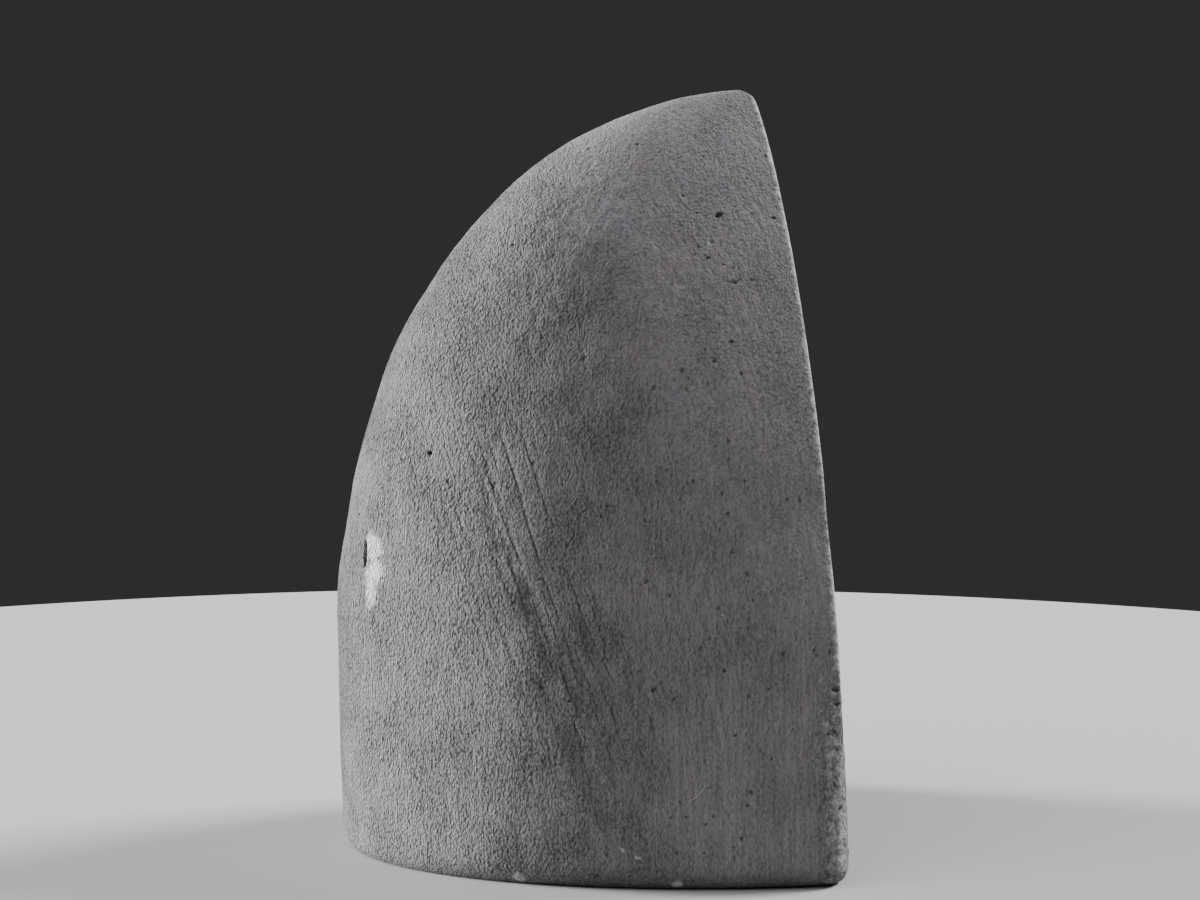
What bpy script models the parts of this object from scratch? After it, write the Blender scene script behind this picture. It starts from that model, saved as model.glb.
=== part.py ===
"""Amethyst geode dome: a geode sawn flat at the front, with a cement coat laid on its back.

Metres, +Z up. The sawn face looks toward -Y and leans back a little, the coated back
looks toward +Y, and the dome stands on its flat cement foot at Z = 0.
"""
import math
import random
from dataclasses import dataclass, replace

import bmesh
import bpy
from mathutils import Matrix, Vector, noise

# The whole dome
HEIGHT = 0.200
HALF_WIDTH = 0.0757
DEPTH = 0.1173
FACE_Y = -0.0592
FACE_LEAN = 0.0373

# Powers of the curves that give the outline from the front and from the side
SIDE_POWER, SIDE_ROOT = 2.18, 1.36
BACK_POWER, BACK_ROOT = 3.02, 1.88
BOWL_POWER = 2.3

# Cement coat
COAT_SIDE = 0.0026
COAT_BACK = 0.0060
COAT_TOP = 0.0052
FOOT = 0.0100
FOOT_EDGE = 0.0062
FACE_INSET = 0.35
ARRIS_EASE = 0.0006
CORNER_ROLL = 0.0058
ROLL_TOP = 0.062
FOOT_SWELL = 0.0014
FOOT_SWELL_REACH = 0.030
SILL_MIDDLE = 0.0130
SILL_CORNER = 0.046
SILL_THICK = 0.0085
SILL_BITE = 0.0012
LUMP_HEIGHT = 0.0005
LUMP_SIZE = 0.026

# Low swells and dents left by the hand that laid the coat: x, distance behind the face at
# that height, z, reach, height
SWELLS = (
    (-0.004, 0.1144, 0.071, 0.017, 0.0008),
    (-0.065, 0.0003, 0.0925, 0.011, -0.0009),
    (-0.053, 0.073, 0.052, 0.024, 0.0006),
    (0.049, 0.078, 0.066, 0.022, 0.0008),
    (0.033, 0.088, 0.120, 0.020, -0.0007),
    (0.066, 0.034, 0.030, 0.018, 0.0006),
    (0.002, 0.042, 0.190, 0.016, 0.0004),
    (0.004, 0.075, 0.166, 0.012, -0.0003),
)

# Narrow slit in the coat at the back, where two trowel strokes did not close: x, distance
# behind the face at that height, z
SLIT_PLACE = (-0.0155, 0.1104, 0.0807)
SLIT_TURN = math.radians(21.0)
SLIT_LEAN = math.radians(8.0)
SLIT_LENGTH = 0.0068
SLIT_WIDTH = 0.0020
SLIT_DEPTH = 0.0024

# Rock wall and hollow
GAP = 0.0003
WALL_SIDE = 0.0088
WALL_BACK = 0.0120
WALL_TOP = 0.0110
HOLLOW_FLOOR = 0.0215
HOLLOW_BOWL = 0.052
HOLLOW_WANDER = 0.045
HOLLOW_GRAIN = 0.032

# Crystals
CRUST = 0.0034
CRYSTAL_RADIUS = (0.0056, 0.0102)
PRISM_HEIGHT = (0.0, 0.35)
TIP_HEIGHT = 1.15
TIP_OFFSET = 0.20
CRYSTAL_ROOT = 0.0020
CRYSTAL_LEAN = 0.16
CRYSTAL_SPACING = 0.80
CRYSTAL_TRIES = 5000
SEED = 11

# How far a cutter runs past the face that it opens, and the length taken for nothing
CLEAR = 0.020
MERGE = 0.00002


@dataclass
class Form:
    """A dome of the shared outline, at its own size and on its own floor."""
    half_width: float
    depth: float
    top: float
    floor: float = 0.0
    bowl: float = 0.0
    ahead: float = 0.0

    def shrunk(self, side, back, top, floor):
        """The same dome, smaller by its own amount at the side, the back, the top and the floor."""
        return replace(self, half_width=self.half_width - side, depth=self.depth - back,
                       top=self.top - top, floor=self.floor + floor)


def face_y(z):
    """Y of the sawn face at a height."""
    return FACE_Y + FACE_LEAN * z


def smooth(t):
    t = min(max(t, 0.0), 1.0)
    return t * t * (3.0 - 2.0 * t)


def section(form, z):
    """Half width and depth of a form at a height."""
    rise = min(z / form.top, 1.0)
    side = (1.0 - rise ** SIDE_POWER) ** (1.0 / SIDE_ROOT)
    back = (1.0 - rise ** BACK_POWER) ** (1.0 / BACK_ROOT)
    opening = 1.0
    if z < form.floor + form.bowl:
        fall = 1.0 - (z - form.floor) / form.bowl
        opening = (1.0 - fall ** BOWL_POWER) ** (1.0 / BOWL_POWER)
    return form.half_width * side * opening, form.depth * back * opening


def surface_point(form, angle, z):
    """Point of a form: the angle runs from the face's +X edge round the back to its -X edge."""
    half_width, depth = section(form, z)
    across, inward = math.cos(angle), math.sin(angle)
    grow = 1.0
    if form.bowl:
        grow += HOLLOW_WANDER * noise.noise(Vector((across, inward, z / HOLLOW_GRAIN)))
    return Vector((across * half_width * grow, face_y(z) + inward * depth * grow, z))


def heights(form, rows):
    """Levels from floor to top, closer together where the form curves over."""
    levels = []
    for row in range(rows + 1):
        part = 1.0 - (1.0 - row / rows) ** 1.7
        if form.bowl:
            part = 0.5 - 0.5 * math.cos(math.pi * row / rows)
        levels.append(form.floor + (form.top - form.floor) * part)
    return levels


def object_from(bm, name):
    mesh = bpy.data.meshes.new(name)
    bm.to_mesh(mesh)
    bm.free()
    return bpy.data.objects.new(name, mesh)


def loft(name, rings, flat_floor):
    """Closed body through level rings. An end ring whose points coincide closes to a tip."""
    bm = bmesh.new()
    levels = [[bm.verts.new(point) for point in ring] for ring in rings]
    count = len(levels[0])
    for low, high in zip(levels, levels[1:]):
        for here in range(count):
            there = (here + 1) % count
            bm.faces.new((low[here], low[there], high[there], high[here]))
    if flat_floor:
        bm.faces.new(levels[0][::-1])
    bmesh.ops.remove_doubles(bm, verts=bm.verts, dist=MERGE)
    bmesh.ops.recalc_face_normals(bm, faces=bm.faces)
    return object_from(bm, name)


def dome(name, form, rows, columns):
    """A nested dome: flat underneath, or closing to a point where it has a bowl."""
    rings = []
    for z in heights(form, rows):
        ring = [surface_point(form, math.pi * step / columns, z) for step in range(columns + 1)]
        if form.ahead:
            forward = Vector((0.0, -form.ahead, 0.0))
            ring = [ring[0] + forward] + ring + [ring[-1] + forward]
        rings.append(ring)
    return loft(name, rings, not form.bowl)


def hand_lumps(x, inward, z):
    """How far the hand-laid surface stands off the true form at a point."""
    where = Vector((x, inward, z))
    lift = LUMP_HEIGHT * noise.noise(where / LUMP_SIZE)
    for sx, sy, sz, reach, height in SWELLS:
        away = (where - Vector((sx, sy, sz))).length / reach
        lift += height * math.exp(-away * away)
    return lift


def coat_ring(form, z, columns):
    """Outline of the coat: its lower edge is rounded, and at the foot it rolls round the two
    front corners and stands a little proud of the saw cut."""
    half_width, depth = section(form, z)
    inset = 0.0
    if z < FOOT_EDGE:
        inset = FOOT_EDGE - math.sqrt(FOOT_EDGE ** 2 - (FOOT_EDGE - z) ** 2)
    half_width -= inset
    depth -= inset
    corner = min(ARRIS_EASE + CORNER_ROLL * smooth(1.0 - z / ROLL_TOP), 0.3 * half_width)
    eased = 0.293 * corner
    plan = [(half_width - corner, 0.0), (half_width - eased, eased)]
    for step in range(1, columns):
        angle = math.pi * step / columns
        x, inward = half_width * math.cos(angle), depth * math.sin(angle)
        if inward < 1.2 * corner:
            x, inward = math.copysign(0.999 * half_width, x), corner
        plan.append((x, inward))
    plan += [(eased - half_width, eased), (corner - half_width, 0.0)]
    fade = smooth(z / FOOT_EDGE) * smooth((form.top - z) / FOOT_EDGE)
    proud = FOOT_SWELL * smooth(1.0 - z / ROLL_TOP)
    points = []
    for x, inward in plan:
        grow = 1.0 + fade * hand_lumps(x, inward, z) / max(half_width, FOOT_EDGE)
        forward = proud * (1.0 - smooth(inward / FOOT_SWELL_REACH))
        points.append(Vector((x * grow, face_y(z) + FACE_INSET * inset + inward * grow - forward, z)))
    return points


def coat_solid(name, form, rows, columns):
    """The outside of the cement coat as one solid body."""
    edge = [FOOT_EDGE * (1.0 - math.cos(math.radians(turn))) for turn in (0.0, 32.0, 62.0, 90.0)]
    body = [z for z in heights(form, rows) if z > FOOT_EDGE * 1.6]
    return loft(name, [coat_ring(form, z, columns) for z in edge + body], True)


def sill_block(name, form, spare, columns):
    """Block of the foot of the face: its top is low in the middle and high at the corners."""
    rim = []
    for step in range(columns + 1):
        across = 1.0 - 2.0 * step / columns
        z = SILL_MIDDLE + (SILL_CORNER - SILL_MIDDLE) * across ** 4 + spare
        rim.append((across * (section(form, z)[0] - SILL_BITE), z))
    side = rim[0][0] + CLEAR
    outline = [(-side, -CLEAR), (side, -CLEAR), (side, rim[0][1]), *rim, (-side, rim[-1][1])]
    bm = bmesh.new()
    bm.faces.new([bm.verts.new((x, face_y(z) - 2.0 * CLEAR, z)) for x, z in outline])
    grown = bmesh.ops.extrude_face_region(bm, geom=bm.faces[:])["geom"]
    back = [item for item in grown if isinstance(item, bmesh.types.BMVert)]
    bmesh.ops.translate(bm, vec=(0.0, 2.0 * CLEAR + SILL_THICK + spare, 0.0), verts=back)
    bmesh.ops.recalc_face_normals(bm, faces=bm.faces)
    return object_from(bm, name)


def slit_lens(name):
    """A thin upright lens that opens the slit in the coat."""
    x, inward, z = SLIT_PLACE
    bm = bmesh.new()
    bmesh.ops.create_icosphere(bm, subdivisions=2, radius=1.0)
    bm.transform(Matrix.Translation((x, face_y(z) + inward, z))
                 @ Matrix.Rotation(SLIT_TURN, 4, "Z")
                 @ Matrix.Rotation(SLIT_LEAN, 4, "Y")
                 @ Matrix.Diagonal((0.5 * SLIT_WIDTH, SLIT_DEPTH, 0.5 * SLIT_LENGTH, 1.0)))
    return object_from(bm, name)


def inward_at(form, angle, z):
    """Unit direction from the hollow's wall into the hollow."""
    around = surface_point(form, angle + 0.01, z) - surface_point(form, angle - 0.01, z)
    upward = surface_point(form, angle, z + 0.0005) - surface_point(form, angle, z - 0.0005)
    return upward.cross(around).normalized()


def crystal_seats(form, chance):
    """Seats spread over the hollow's wall, each with its inward direction and its radius."""
    seats = []
    for _ in range(CRYSTAL_TRIES):
        z = form.floor + (form.top - form.floor) * chance.uniform(0.012, 0.985)
        angle = chance.uniform(0.02, math.pi - 0.02)
        radius = chance.uniform(*CRYSTAL_RADIUS)
        place = surface_point(form, angle, z)
        if all((place - seat).length > CRYSTAL_SPACING * (radius + size) for seat, _, size in seats):
            seats.append((place, inward_at(form, angle, z), radius))
    return seats


def add_crystal(bm, place, axis, radius, chance):
    """A six-sided prism with a pointed end, its root sunk in the crust."""
    length = radius * chance.uniform(*PRISM_HEIGHT) + CRYSTAL_ROOT
    spin = Matrix.Rotation(chance.uniform(0.0, math.tau), 4, "Z")
    aim = Matrix.Translation(place - axis * CRYSTAL_ROOT) @ axis.to_track_quat("Z", "Y").to_matrix().to_4x4()
    made = bmesh.ops.create_cone(
        bm, cap_ends=True, segments=6, radius1=radius, radius2=radius, depth=length,
        matrix=aim @ spin @ Matrix.Translation((0.0, 0.0, 0.5 * length)))
    bm.normal_update()
    faces = {face for vert in made["verts"] for face in vert.link_faces}
    end = max(faces, key=lambda face: face.calc_center_median().dot(axis))
    tip = bmesh.ops.poke(bm, faces=[end])["verts"][0]
    offset = Vector((chance.uniform(-TIP_OFFSET, TIP_OFFSET), chance.uniform(-TIP_OFFSET, TIP_OFFSET), 0.0))
    tip.co += axis * radius * TIP_HEIGHT + aim.to_3x3() @ offset * radius


def crystal_cluster(name, form):
    """All the crystals of the crust, each pointing into the hollow and a little to one side."""
    chance = random.Random(SEED)
    bm = bmesh.new()
    seats = crystal_seats(form, chance)
    for place, inward, radius in seats:
        lean = Vector([chance.uniform(-CRYSTAL_LEAN, CRYSTAL_LEAN) for _ in range(3)])
        add_crystal(bm, place, (inward + lean).normalized(), radius, chance)
    print("crystals:", len(seats))
    return object_from(bm, name)


def cut(target, cutter, crossing=False):
    """Take a cutter's shape out of a piece. A cutter whose own parts cross is crossing."""
    modifier = target.modifiers.new("cut_" + cutter.name, "BOOLEAN")
    modifier.operation = "DIFFERENCE"
    modifier.object = cutter
    modifier.solver = "EXACT"
    modifier.use_self = crossing


def bake(target):
    """Turn an object's modifiers into its mesh."""
    bpy.context.view_layer.update()
    graph = bpy.context.evaluated_depsgraph_get()
    mesh = bpy.data.meshes.new_from_object(target.evaluated_get(graph))
    target.modifiers.clear()
    target.data = mesh


def keep_largest_shell(target):
    """Drop the closed pockets that a cut leaves beside the main body."""
    bm = bmesh.new()
    bm.from_mesh(target.data)
    unseen = set(bm.faces)
    shells = []
    while unseen:
        edge_of_shell = [unseen.pop()]
        shell = set(edge_of_shell)
        while edge_of_shell:
            near = {face for edge in edge_of_shell.pop().edges for face in edge.link_faces}
            fresh = near & unseen
            unseen -= fresh
            shell |= fresh
            edge_of_shell += fresh
        shells.append(shell)
    shells.sort(key=len)
    stray = [face for shell in shells[:-1] for face in shell]
    bmesh.ops.delete(bm, geom=stray, context="FACES")
    bm.to_mesh(target.data)
    bm.free()


def join_flat_faces(target):
    """Merge what a cut left closer than a hair, and join the faces that lie in one plane."""
    bm = bmesh.new()
    bm.from_mesh(target.data)
    bmesh.ops.remove_doubles(bm, verts=bm.verts, dist=MERGE)
    bmesh.ops.dissolve_degenerate(bm, dist=MERGE, edges=bm.edges)
    bmesh.ops.dissolve_limit(bm, angle_limit=math.radians(0.2), verts=bm.verts, edges=bm.edges)
    bmesh.ops.triangulate(bm, faces=bm.faces)
    bm.to_mesh(target.data)
    bm.free()


def finish_material(name, colour, roughness, clear=0.0):
    material = bpy.data.materials.new(name)
    material.use_nodes = True
    shader = material.node_tree.nodes["Principled BSDF"]
    shader.inputs["Base Color"].default_value = (*colour, 1.0)
    shader.inputs["Roughness"].default_value = roughness
    shader.inputs["Metallic"].default_value = 0.0
    shader.inputs["Transmission Weight"].default_value = clear
    material.diffuse_color = (*colour, 1.0)
    return material


def new_collection(name):
    group = bpy.data.collections.new(name)
    bpy.context.scene.collection.children.link(group)
    return group


def add_cutters(group, *cutters):
    for cutter in cutters:
        group.objects.link(cutter)
        cutter.hide_render = True
        cutter.display_type = "WIRE"


def finish(piece, material, smooth_angle):
    """Fix a piece's shape, its shading and its material."""
    bake(piece)
    join_flat_faces(piece)
    piece.data.materials.clear()
    piece.data.materials.append(material)
    piece.data.shade_smooth()
    piece.data.set_sharp_from_angle(angle=math.radians(smooth_angle))
    print(piece.name, "triangles:", len(piece.data.polygons))


def make_jacket(parts, cutters, coat, seat):
    """The cement coat, hollowed to take the rock, with the sill left standing at its foot."""
    jacket = coat_solid("cement_jacket", coat, 22, 26)
    parts.objects.link(jacket)
    inside = dome("jacket_inside", replace(seat, ahead=CLEAR), 14, 16)
    sill = sill_block("sill_block", seat, 0.0, 16)
    slit = slit_lens("slit_lens")
    add_cutters(cutters, inside, sill, slit)
    cut(inside, sill)
    bake(inside)
    cut(jacket, inside)
    cut(jacket, slit)
    finish(jacket, finish_material("cement", (0.085, 0.080, 0.080), 0.92), 40.0)


def make_wall(parts, cutters, seat, rock, hollow):
    """The geode's rock wall, with the foot of its face notched for the sill."""
    wall = dome("agate_wall", rock, 14, 16)
    parts.objects.link(wall)
    inside = dome("wall_inside", replace(hollow, ahead=CLEAR), 18, 20)
    notch = sill_block("wall_notch", seat, GAP, 16)
    add_cutters(cutters, inside, notch)
    cut(wall, inside)
    cut(wall, notch)
    finish(wall, finish_material("agate", (0.46, 0.45, 0.44), 0.25), 40.0)


def make_crust(parts, cutters, crust, druse):
    """The crystals and the crust that they grew from, as one body, sawn flush with the face."""
    lining = dome("amethyst_crust", crust, 18, 20)
    parts.objects.link(lining)
    inside = dome("crust_inside", replace(druse, ahead=CLEAR), 14, 16)
    cluster = crystal_cluster("crystal_cluster", druse)
    add_cutters(cutters, inside, cluster)
    cut(inside, cluster, crossing=True)
    bake(inside)
    keep_largest_shell(inside)
    cut(lining, inside)
    finish(lining, finish_material("amethyst", (0.26, 0.10, 0.42), 0.08, 0.5), 4.0)


def build():
    for old in list(bpy.data.objects):
        bpy.data.objects.remove(old, do_unlink=True)
    parts = new_collection("amethyst_geode_dome")
    cutters = new_collection("cutters")

    coat = Form(HALF_WIDTH, DEPTH, HEIGHT)
    seat = coat.shrunk(COAT_SIDE, COAT_BACK, COAT_TOP, FOOT)
    rock = seat.shrunk(GAP, GAP, GAP, GAP)
    hollow = replace(rock.shrunk(WALL_SIDE, WALL_BACK, WALL_TOP, 0.0),
                     floor=HOLLOW_FLOOR, bowl=HOLLOW_BOWL)
    crust = hollow.shrunk(GAP, GAP, GAP, GAP)
    druse = crust.shrunk(CRUST, CRUST, CRUST, CRUST)

    make_jacket(parts, cutters, coat, seat)
    make_wall(parts, cutters, seat, rock, hollow)
    make_crust(parts, cutters, crust, druse)


build()
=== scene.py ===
# %% [markdown]
# # An amethyst geode dome in its cement coat
#
# Half of a hollow stone stands on end. Its front is sawn flat and shows a rim of rock
# round a hollow full of amethyst. Its back and sides are covered with dark grey cement,
# laid on by hand, which also makes the flat foot. The photograph looks at the coated
# back and one side, so the coat gets the most care here. The front follows what such
# stones are like.
#
# The solids of the part are loaded first. They fix every size, and nothing below moves
# or resizes them.

# %% Load the frame
import math
import random
from dataclasses import dataclass, replace

import bmesh
import bpy
import numpy as np
from mathutils import Matrix, Vector, noise
from mathutils.bvhtree import BVHTree


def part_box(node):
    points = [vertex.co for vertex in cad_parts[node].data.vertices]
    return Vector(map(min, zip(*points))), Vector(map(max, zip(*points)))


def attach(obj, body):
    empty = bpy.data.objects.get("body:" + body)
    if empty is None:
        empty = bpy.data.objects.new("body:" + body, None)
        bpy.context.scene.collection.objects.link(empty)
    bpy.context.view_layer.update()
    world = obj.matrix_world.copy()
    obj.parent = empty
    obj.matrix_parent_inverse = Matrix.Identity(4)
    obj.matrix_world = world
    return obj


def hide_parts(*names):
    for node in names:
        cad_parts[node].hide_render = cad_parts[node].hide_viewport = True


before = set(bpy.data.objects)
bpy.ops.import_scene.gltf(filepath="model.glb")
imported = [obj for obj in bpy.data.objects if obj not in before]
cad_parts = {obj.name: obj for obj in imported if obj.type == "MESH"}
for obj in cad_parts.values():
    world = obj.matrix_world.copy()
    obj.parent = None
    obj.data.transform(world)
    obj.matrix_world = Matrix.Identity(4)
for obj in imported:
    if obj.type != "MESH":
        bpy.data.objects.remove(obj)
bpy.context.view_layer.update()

JACKET_LOW, JACKET_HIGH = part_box("cement_jacket")
HEIGHT = JACKET_HIGH.z - JACKET_LOW.z
WELD = 0.00001

# %% [markdown]
# ## The camera comes first
#
# It looks at the coated side from a little above the table. A long lens from a metre
# away keeps the upright edges nearly parallel, as they are in the photograph. The small
# shift puts the stone where it stands in the picture.

# %% Camera
VIEW_AZIMUTH = math.radians(-102.37)
VIEW_ELEVATION = math.radians(6.23)
VIEW_DISTANCE = 5.0 * HEIGHT
VIEW_AIM = Vector((0.0, -0.0092, 0.5 * HEIGHT))
VIEW_LENS = 112.9
VIEW_SHIFT = (0.0058, 0.0146)


def direction(azimuth, elevation):
    """Unit vector from the stone to a place round it. Azimuth 0 is in front of the sawn face."""
    level = math.cos(elevation)
    return Vector((math.sin(azimuth) * level, -math.cos(azimuth) * level, math.sin(elevation)))


to_camera = direction(VIEW_AZIMUTH, VIEW_ELEVATION)
bpy.ops.object.camera_add(location=VIEW_AIM + VIEW_DISTANCE * to_camera)
camera = bpy.context.object
camera.name = "photo_camera"
camera.rotation_euler = (-to_camera).to_track_quat("-Z", "Y").to_euler()
camera.data.lens = VIEW_LENS
camera.data.shift_x, camera.data.shift_y = VIEW_SHIFT
bpy.context.scene.camera = camera
print("camera at", [round(value, 3) for value in camera.location])

# %% [markdown]
# ## Floor and light
#
# A round pale table, and wide soft lamps like studio softboxes. The strongest one stands
# low behind the stone, to the left of the picture. It rakes over the coat, so that every
# grain of the cement throws a small shadow. The others are weaker: one lights the sawn
# face and the crystals, and a very wide one hangs high behind and fills the shadows.

# %% Floor
FLOOR_RADIUS = 0.48
FLOOR_COLOUR = (0.36, 0.36, 0.36, 1.0)

bpy.ops.object.select_all(action="DESELECT")
bpy.ops.mesh.primitive_circle_add(vertices=256, radius=FLOOR_RADIUS, fill_type="NGON")
floor = bpy.context.object
floor.name = "floor"

floor_paint = bpy.data.materials.new("floor_paint")
floor_paint.use_nodes = True
floor_shader = floor_paint.node_tree.nodes["Principled BSDF"]
floor_shader.inputs["Base Color"].default_value = FLOOR_COLOUR
floor_shader.inputs["Roughness"].default_value = 0.8
floor.data.materials.append(floor_paint)
print("floor radius:", FLOOR_RADIUS)

# %% Lamps and sky
SKY_COLOUR = (0.80, 0.81, 0.83, 1.0)
SKY_STRENGTH = 0.04
# Name, azimuth, elevation, power and softness. The angles are in degrees.
LAMPS = (
    ("raking_lamp", 153.0, 9.0, 17.0, 17.0),
    ("front_lamp", 8.0, 40.0, 6.5, 20.0),
    ("top_lamp", -150.0, 50.0, 2.2, 60.0),
)


def add_lamp(name, azimuth, elevation, power, softness):
    """A wide soft lamp so far off that it lights the whole table alike."""
    away = direction(math.radians(azimuth), math.radians(elevation))
    bpy.ops.object.light_add(type="SUN", location=VIEW_AIM + away)
    lamp = bpy.context.object
    lamp.name = name
    lamp.rotation_euler = (-away).to_track_quat("-Z", "Y").to_euler()
    lamp.data.energy = power
    lamp.data.angle = math.radians(softness)
    return lamp


for lamp_values in LAMPS:
    add_lamp(*lamp_values)
sky = bpy.data.worlds.new("studio")
sky.use_nodes = True
sky.node_tree.nodes["Background"].inputs["Color"].default_value = SKY_COLOUR
sky.node_tree.nodes["Background"].inputs["Strength"].default_value = SKY_STRENGTH
bpy.context.scene.world = sky
print("lamps:", len(LAMPS))

# %% [markdown]
# ## The form that everything shares
#
# The coat, the rock, the hollow and the crust are the same dome at different sizes, one
# inside the other. From the front its outline is a pointed arch, and from the side a
# half arch. Each level of it is half an ellipse behind the sawn face, and the face leans
# back a little. A power curve gives each outline, so a few numbers describe them all.

# %% Sizes of the dome
HALF_WIDTH = 0.0757
DEPTH = 0.1173
FACE_Y = -0.0592
FACE_LEAN = 0.0373
SIDE_POWER, SIDE_ROOT = 2.18, 1.36
BACK_POWER, BACK_ROOT = 3.02, 1.88
BOWL_POWER = 2.3
GAP = 0.0003


@dataclass
class Form:
    """A dome of the shared outline, at its own size and on its own floor."""
    half_width: float
    depth: float
    top: float
    floor: float = 0.0
    bowl: float = 0.0
    ahead: float = 0.0

    def shrunk(self, side, back, top, floor):
        """The same dome, smaller by its own amount at the side, the back, the top and the floor."""
        return replace(self, half_width=self.half_width - side, depth=self.depth - back,
                       top=self.top - top, floor=self.floor + floor)


COAT = Form(HALF_WIDTH, DEPTH, HEIGHT)
SEAT = COAT.shrunk(0.0026, 0.0060, 0.0052, 0.0100)
ROCK = SEAT.shrunk(GAP, GAP, GAP, GAP)
HOLLOW = replace(ROCK.shrunk(0.0088, 0.0120, 0.0110, 0.0), floor=0.0215, bowl=0.052)
CRUST = HOLLOW.shrunk(GAP, GAP, GAP, GAP)
DRUSE = CRUST.shrunk(0.0034, 0.0034, 0.0034, 0.0034)


def smooth(value):
    """Ease from 0 to 1 as value goes from 0 to 1, for one number or for an array."""
    value = np.clip(value, 0.0, 1.0)
    return value * value * (3.0 - 2.0 * value)


def face_y(z):
    """Y of the sawn face at a height."""
    return FACE_Y + FACE_LEAN * z


def section(form, z):
    """Half width and depth of a form at a height."""
    rise = min(z / form.top, 1.0)
    side = (1.0 - rise ** SIDE_POWER) ** (1.0 / SIDE_ROOT)
    back = (1.0 - rise ** BACK_POWER) ** (1.0 / BACK_ROOT)
    opening = 1.0
    if z < form.floor + form.bowl:
        fall = min(1.0 - (z - form.floor) / form.bowl, 1.0)
        opening = (1.0 - fall ** BOWL_POWER) ** (1.0 / BOWL_POWER)
    return form.half_width * side * opening, form.depth * back * opening


print("coat at half height:", [round(value, 4) for value in section(COAT, 0.5 * HEIGHT)])

# %% [markdown]
# Every dome starts as a cylinder. Its upright edges are cut into level rings, and each
# ring is then laid on the outline of its height. That keeps the faces square and even,
# which fine relief needs.

# %% From a cylinder to a dome
def only(piece):
    """Make one piece the only one that is selected and active."""
    bpy.ops.object.select_all(action="DESELECT")
    piece.select_set(True)
    bpy.context.view_layer.objects.active = piece


def clean_mesh(piece):
    """Weld points that share a place, and turn every face outwards."""
    only(piece)
    bpy.ops.object.mode_set(mode="EDIT")
    bpy.ops.mesh.select_all(action="SELECT")
    bpy.ops.mesh.remove_doubles(threshold=WELD)
    bpy.ops.mesh.normals_make_consistent(inside=False)
    bpy.ops.object.mode_set(mode="OBJECT")


def ringed_body(name, around, passes, place):
    """A capped cylinder cut into rings. place(step, level) says where each of its points goes.

    The rings are cut in passes, because one subdivision makes at most a hundred cuts.
    """
    rows = math.prod(passes)
    bpy.ops.object.select_all(action="DESELECT")
    bpy.ops.mesh.primitive_cylinder_add(vertices=around, radius=1.0, depth=1.0)
    body = bpy.context.object
    body.name = body.data.name = name
    bpy.ops.object.mode_set(mode="EDIT")
    bpy.ops.mesh.select_mode(type="EDGE")
    for pieces in passes:
        bpy.ops.mesh.select_all(action="DESELECT")
        cage = bmesh.from_edit_mesh(body.data)
        for edge in cage.edges:
            edge.select_set(abs(edge.verts[0].co.z - edge.verts[1].co.z) > 0.1 / rows)
        bpy.ops.mesh.subdivide(number_cuts=pieces - 1)
    bpy.ops.mesh.select_mode(type="VERT")
    bpy.ops.object.mode_set(mode="OBJECT")
    for point in body.data.vertices:
        step = round(math.atan2(point.co.y, point.co.x) / math.tau * around) % around
        level = round((point.co.z + 0.5) * rows)
        point.co = place(step, level)
    clean_mesh(body)
    return body


def apply_modifier(piece, kind, **values):
    """Add a modifier with these values and apply it at once."""
    only(piece)
    modifier = piece.modifiers.new(kind.lower(), kind)
    for key, value in values.items():
        setattr(modifier, key, value)
    bpy.ops.object.modifier_apply(modifier=modifier.name)


def cut_away(piece, cutter, **values):
    """Take a cutter's shape out of a piece, and throw the cutter away."""
    apply_modifier(piece, "BOOLEAN", operation="DIFFERENCE", object=cutter, solver="EXACT", **values)
    bpy.data.objects.remove(cutter, do_unlink=True)


# %% [markdown]
# ## The cement coat
#
# On the real stone a worker pressed stiff cement onto the rough back and drew it smooth
# with a trowel and a wet brush. At the front it was sawn together with the rock, which
# left a crisp edge. Low down it was laid on after the cut, so it rolls round the two
# front corners and makes a low sill. The body is made first, with its true outline, and
# the relief is laid on it afterwards.

# %% Outline of the coat
FOOT_EDGE = 0.0062
ARRIS_EASE = 0.0008
CORNER_ROLL = 0.0058
ROLL_SHARE = 0.3
ROLL_TOP = 0.062
FOOT_SWELL = 0.0014
FOOT_SWELL_REACH = 0.030
FACE_INSET = 0.35
TIP_ROUND = 0.0036
BACK_COLUMNS = 308
CORNER_COLUMNS = 10
FRONT_COLUMNS = 110
COAT_PASSES = (86, 3)
COAT_AROUND = BACK_COLUMNS + 2 * CORNER_COLUMNS + FRONT_COLUMNS


def proud(z):
    """How far the hand-laid foot stands proud of the saw cut at a height."""
    return FOOT_SWELL * smooth(1.0 - z / ROLL_TOP)


def foot_inset(z):
    """How far the rounded lower edge stands back at a height."""
    below = np.clip(FOOT_EDGE - z, 0.0, FOOT_EDGE)
    return FOOT_EDGE - np.sqrt(FOOT_EDGE ** 2 - below ** 2)


def even_levels(rows):
    """Heights that cut the curved outline of the back into even lengths."""
    z = HEIGHT * 0.5 * (1.0 - np.cos(np.linspace(0.0, math.pi, 6001)))
    back = np.array([section(COAT, level)[1] for level in z]) - foot_inset(z)
    along = np.concatenate(([0.0], np.cumsum(np.hypot(np.diff(back), np.diff(z)))))
    return np.interp(np.linspace(0.0, along[-1], rows + 1), along, z)


def even_turns(columns):
    """Angles that cut half of the foot's ellipse into even lengths."""
    angle = np.linspace(0.0, math.pi, 6001)
    x, y = HALF_WIDTH * np.cos(angle), DEPTH * np.sin(angle)
    along = np.concatenate(([0.0], np.cumsum(np.hypot(np.diff(x), np.diff(y)))))
    return np.interp(np.linspace(0.0, along[-1], columns + 1), along, angle)


COAT_LEVELS = even_levels(math.prod(COAT_PASSES))
COAT_TURNS = even_turns(BACK_COLUMNS)


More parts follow.
